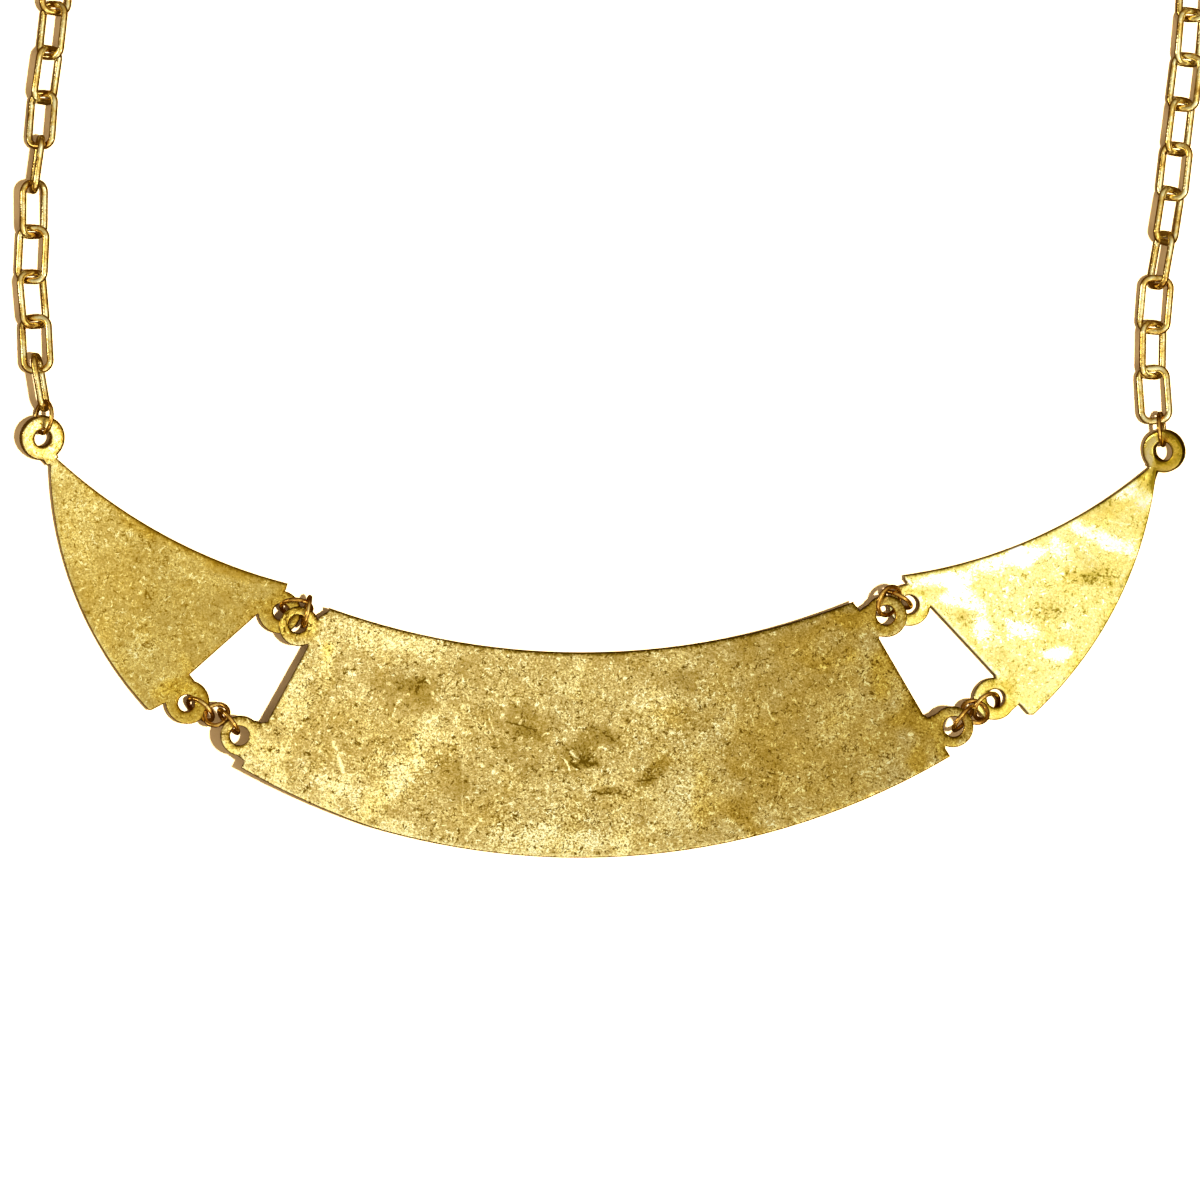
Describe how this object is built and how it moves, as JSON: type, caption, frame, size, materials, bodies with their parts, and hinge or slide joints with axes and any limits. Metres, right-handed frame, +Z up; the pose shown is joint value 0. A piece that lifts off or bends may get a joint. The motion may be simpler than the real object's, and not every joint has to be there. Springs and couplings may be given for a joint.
{
  "type": "panel necklace",
  "caption": "Panel necklace lying flat: curved metal plates joined by jump rings, a long-link chain on each side and a plain barrel clasp at the back.",
  "frame": {"origin": "middle of the bounding box, on the surface that the necklace lies on", "axes": "+Z up from the surface, +Y from the front plate towards the clasp, +X to the picture's right"},
  "size_m": [0.1552, 0.1816, 0.0071],
  "materials": {
    "plate": "gilt brass, fine satin",
    "ring": "gilt brass wire, polished",
    "chain": "gilt brass wire, polished",
    "clasp": "gilt brass, polished"
  },
  "bodies": {
    "root": {"panel_center": "plate", "panel_left": "plate", "panel_right": "plate", "ring_upper_left_1": "ring", "ring_upper_left_2": "ring", "ring_upper_right_1": "ring", "ring_upper_right_2": "ring", "ring_lower_left_1": "ring", "ring_lower_left_2": "ring", "ring_lower_left_3": "ring", "ring_lower_right_1": "ring", "ring_lower_right_2": "ring", "ring_lower_right_3": "ring", "ring_tip_left": "ring", "ring_tip_right": "ring", "ring_clasp_left": "ring", "ring_clasp_right": "ring", "chain_left": "chain", "chain_right": "chain", "clasp": "clasp"}
  },
  "joints": []
}
